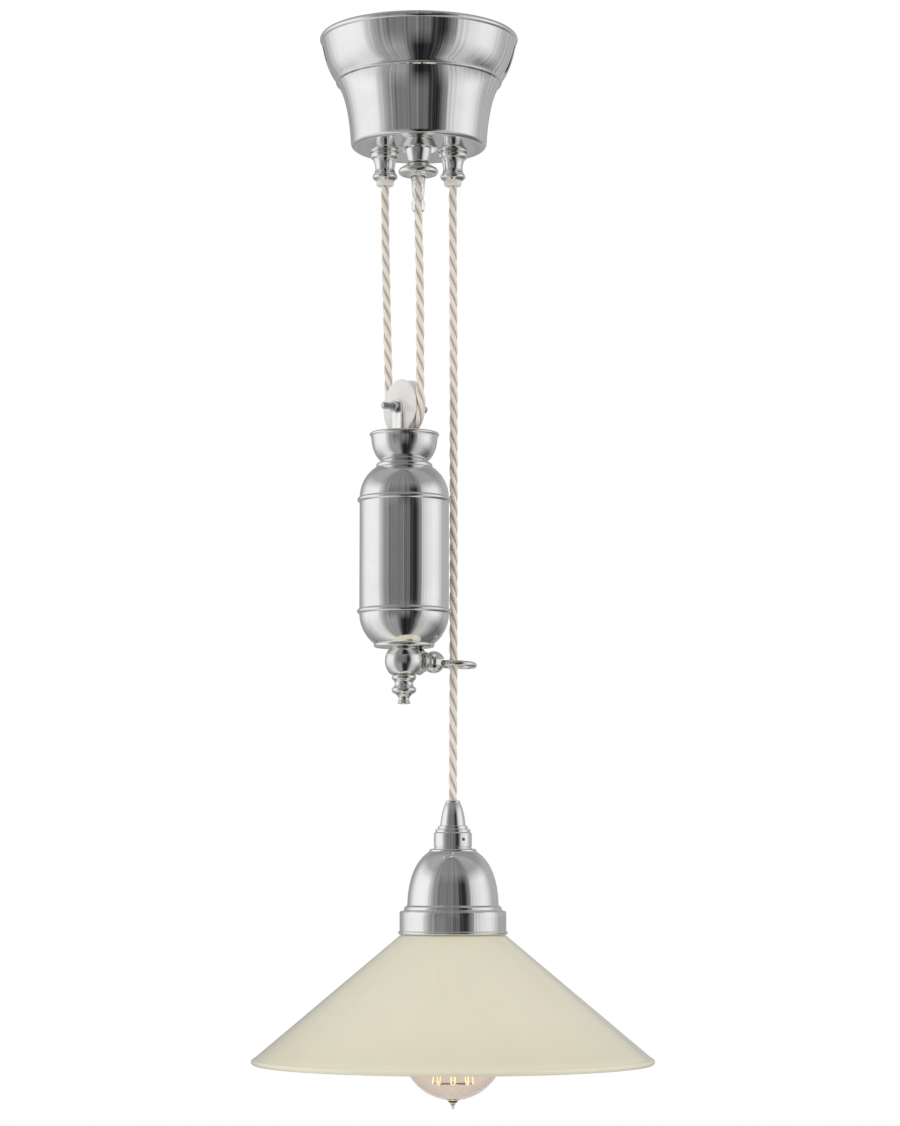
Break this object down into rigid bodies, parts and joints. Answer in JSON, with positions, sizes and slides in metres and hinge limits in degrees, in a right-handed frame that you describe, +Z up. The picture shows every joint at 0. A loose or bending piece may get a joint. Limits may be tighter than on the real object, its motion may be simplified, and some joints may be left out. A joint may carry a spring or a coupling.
{
  "type": "rise and fall pendant lamp",
  "caption": "Ceiling lamp with a conical glass shade, hung on one cord that runs over pulleys with a cylindrical counterweight, so that it can be pulled lower or pushed higher.",
  "frame": {"origin": "centre of the canopy at the ceiling plane, midway between the two ceiling screws", "axes": "+Z up into the ceiling, +X towards the lamp side (viewer right), -Y towards the viewer"},
  "size_m": [0.3, 0.3, 0.8103],
  "materials": {
    "nickel": "polished nickel plate on brass",
    "zinced_steel": "bright zinc plate",
    "brass": "plain turned brass",
    "white_plastic": "satin",
    "clear_plastic": "clear, glossy",
    "porcelain": "white glaze",
    "textile": "twisted braided flex, matt",
    "iron": "rough casting",
    "opal_glass": "cream opal, glossy",
    "tinted_glass": "clear, gold tint",
    "clear_glass": "clear",
    "filament": "wire"
  },
  "bodies": {
    "canopy": {"ceiling_bracket": "zinced_steel", "spring_clips": "zinced_steel", "canopy_shell": "nickel", "left_gland": "nickel", "right_gland": "nickel", "middle_gland": "nickel", "domed_washer": "nickel", "gland_nuts": "brass", "gland_bushes": "white_plastic", "strain_relief": "clear_plastic", "pulley_yoke": "zinced_steel", "canopy_axle": "zinced_steel", "axle_retaining_rings": "zinced_steel", "terminal_block": "white_plastic", "terminal_screws": "brass", "block_screw": "zinced_steel", "earth_screw": "brass", "cord_clamp": "brass", "clamp_screw": "zinced_steel", "canopy_cord": "textile", "dead_end_cord": "textile", "left_cord_run": "textile", "middle_cord_run": "textile", "lamp_cord_run": "textile"},
    "counterweight": {"weight_axle": "zinced_steel", "weight_axle_nuts": "zinced_steel", "pulley_cord": "textile", "stirrup": "nickel", "weight_cup": "nickel", "tie_rod": "zinced_steel", "tie_rod_nut": "zinced_steel", "weight_upper_dome": "nickel", "weight_tube": "nickel", "weight_lower_dome": "nickel", "ballast": "iron", "weight_ball": "nickel", "finial": "nickel", "guide_arm": "nickel", "guide_pin": "zinced_steel"},
    "weight_pulley": {"weight_pulley": "porcelain"},
    "canopy_pulley": {"canopy_pulley": "porcelain"},
    "guide_ring": {"guide_ring": "nickel"},
    "lamp": {"cord_grip": "nickel", "grip_collet": "white_plastic", "cap_collar": "nickel", "lamp_cap": "nickel", "threaded_tube": "brass", "tube_nut": "brass", "lamp_cord_end": "textile", "holder_cover": "brass", "holder_skirt": "brass", "holder_core": "porcelain", "holder_contacts": "brass", "shade_ring_nut": "white_plastic", "glass_shade": "opal_glass", "bulb_glass": "tinted_glass", "bulb_cap": "brass", "bulb_stem": "clear_glass", "filament": "filament", "filament_supports": "filament"}
  },
  "joints": [
    {"name": "lamp_slide", "type": "slide", "parent": "canopy", "child": "lamp", "axis": [0, 0, 1], "range_m": [-0.24, 0.06], "deforming": ["lamp_cord_run"]},
    {"name": "weight_slide", "type": "slide", "parent": "canopy", "child": "counterweight", "axis": [0, 0, 1], "range_m": [-0.03, 0.12], "deforming": ["left_cord_run", "middle_cord_run"]},
    {"name": "weight_pulley_spin", "type": "hinge", "parent": "counterweight", "child": "weight_pulley", "pos_m": [-0.0105, -0.0075, -0.2875], "axis": [-0.809, -0.5878, 0], "range_deg": [-345, 90]},
    {"name": "canopy_pulley_spin", "type": "hinge", "parent": "canopy", "child": "canopy_pulley", "pos_m": [0, 0.01501, -0.0458], "axis": [0, 1, 0], "range_deg": [-135, 535]},
    {"name": "guide_swing", "type": "hinge", "parent": "counterweight", "child": "guide_ring", "pos_m": [0.01163, 0.00615, -0.4786], "axis": [0, 0, 1], "range_deg": [-18, 18]}
  ],
  "couplings": [
    {"joint": "weight_slide", "follows": "lamp_slide", "ratio": -0.5},
    {"joint": "weight_pulley_spin", "follows": "lamp_slide", "rad_per_m": 24.39},
    {"joint": "canopy_pulley_spin", "follows": "lamp_slide", "rad_per_m": -38.462}
  ]
}
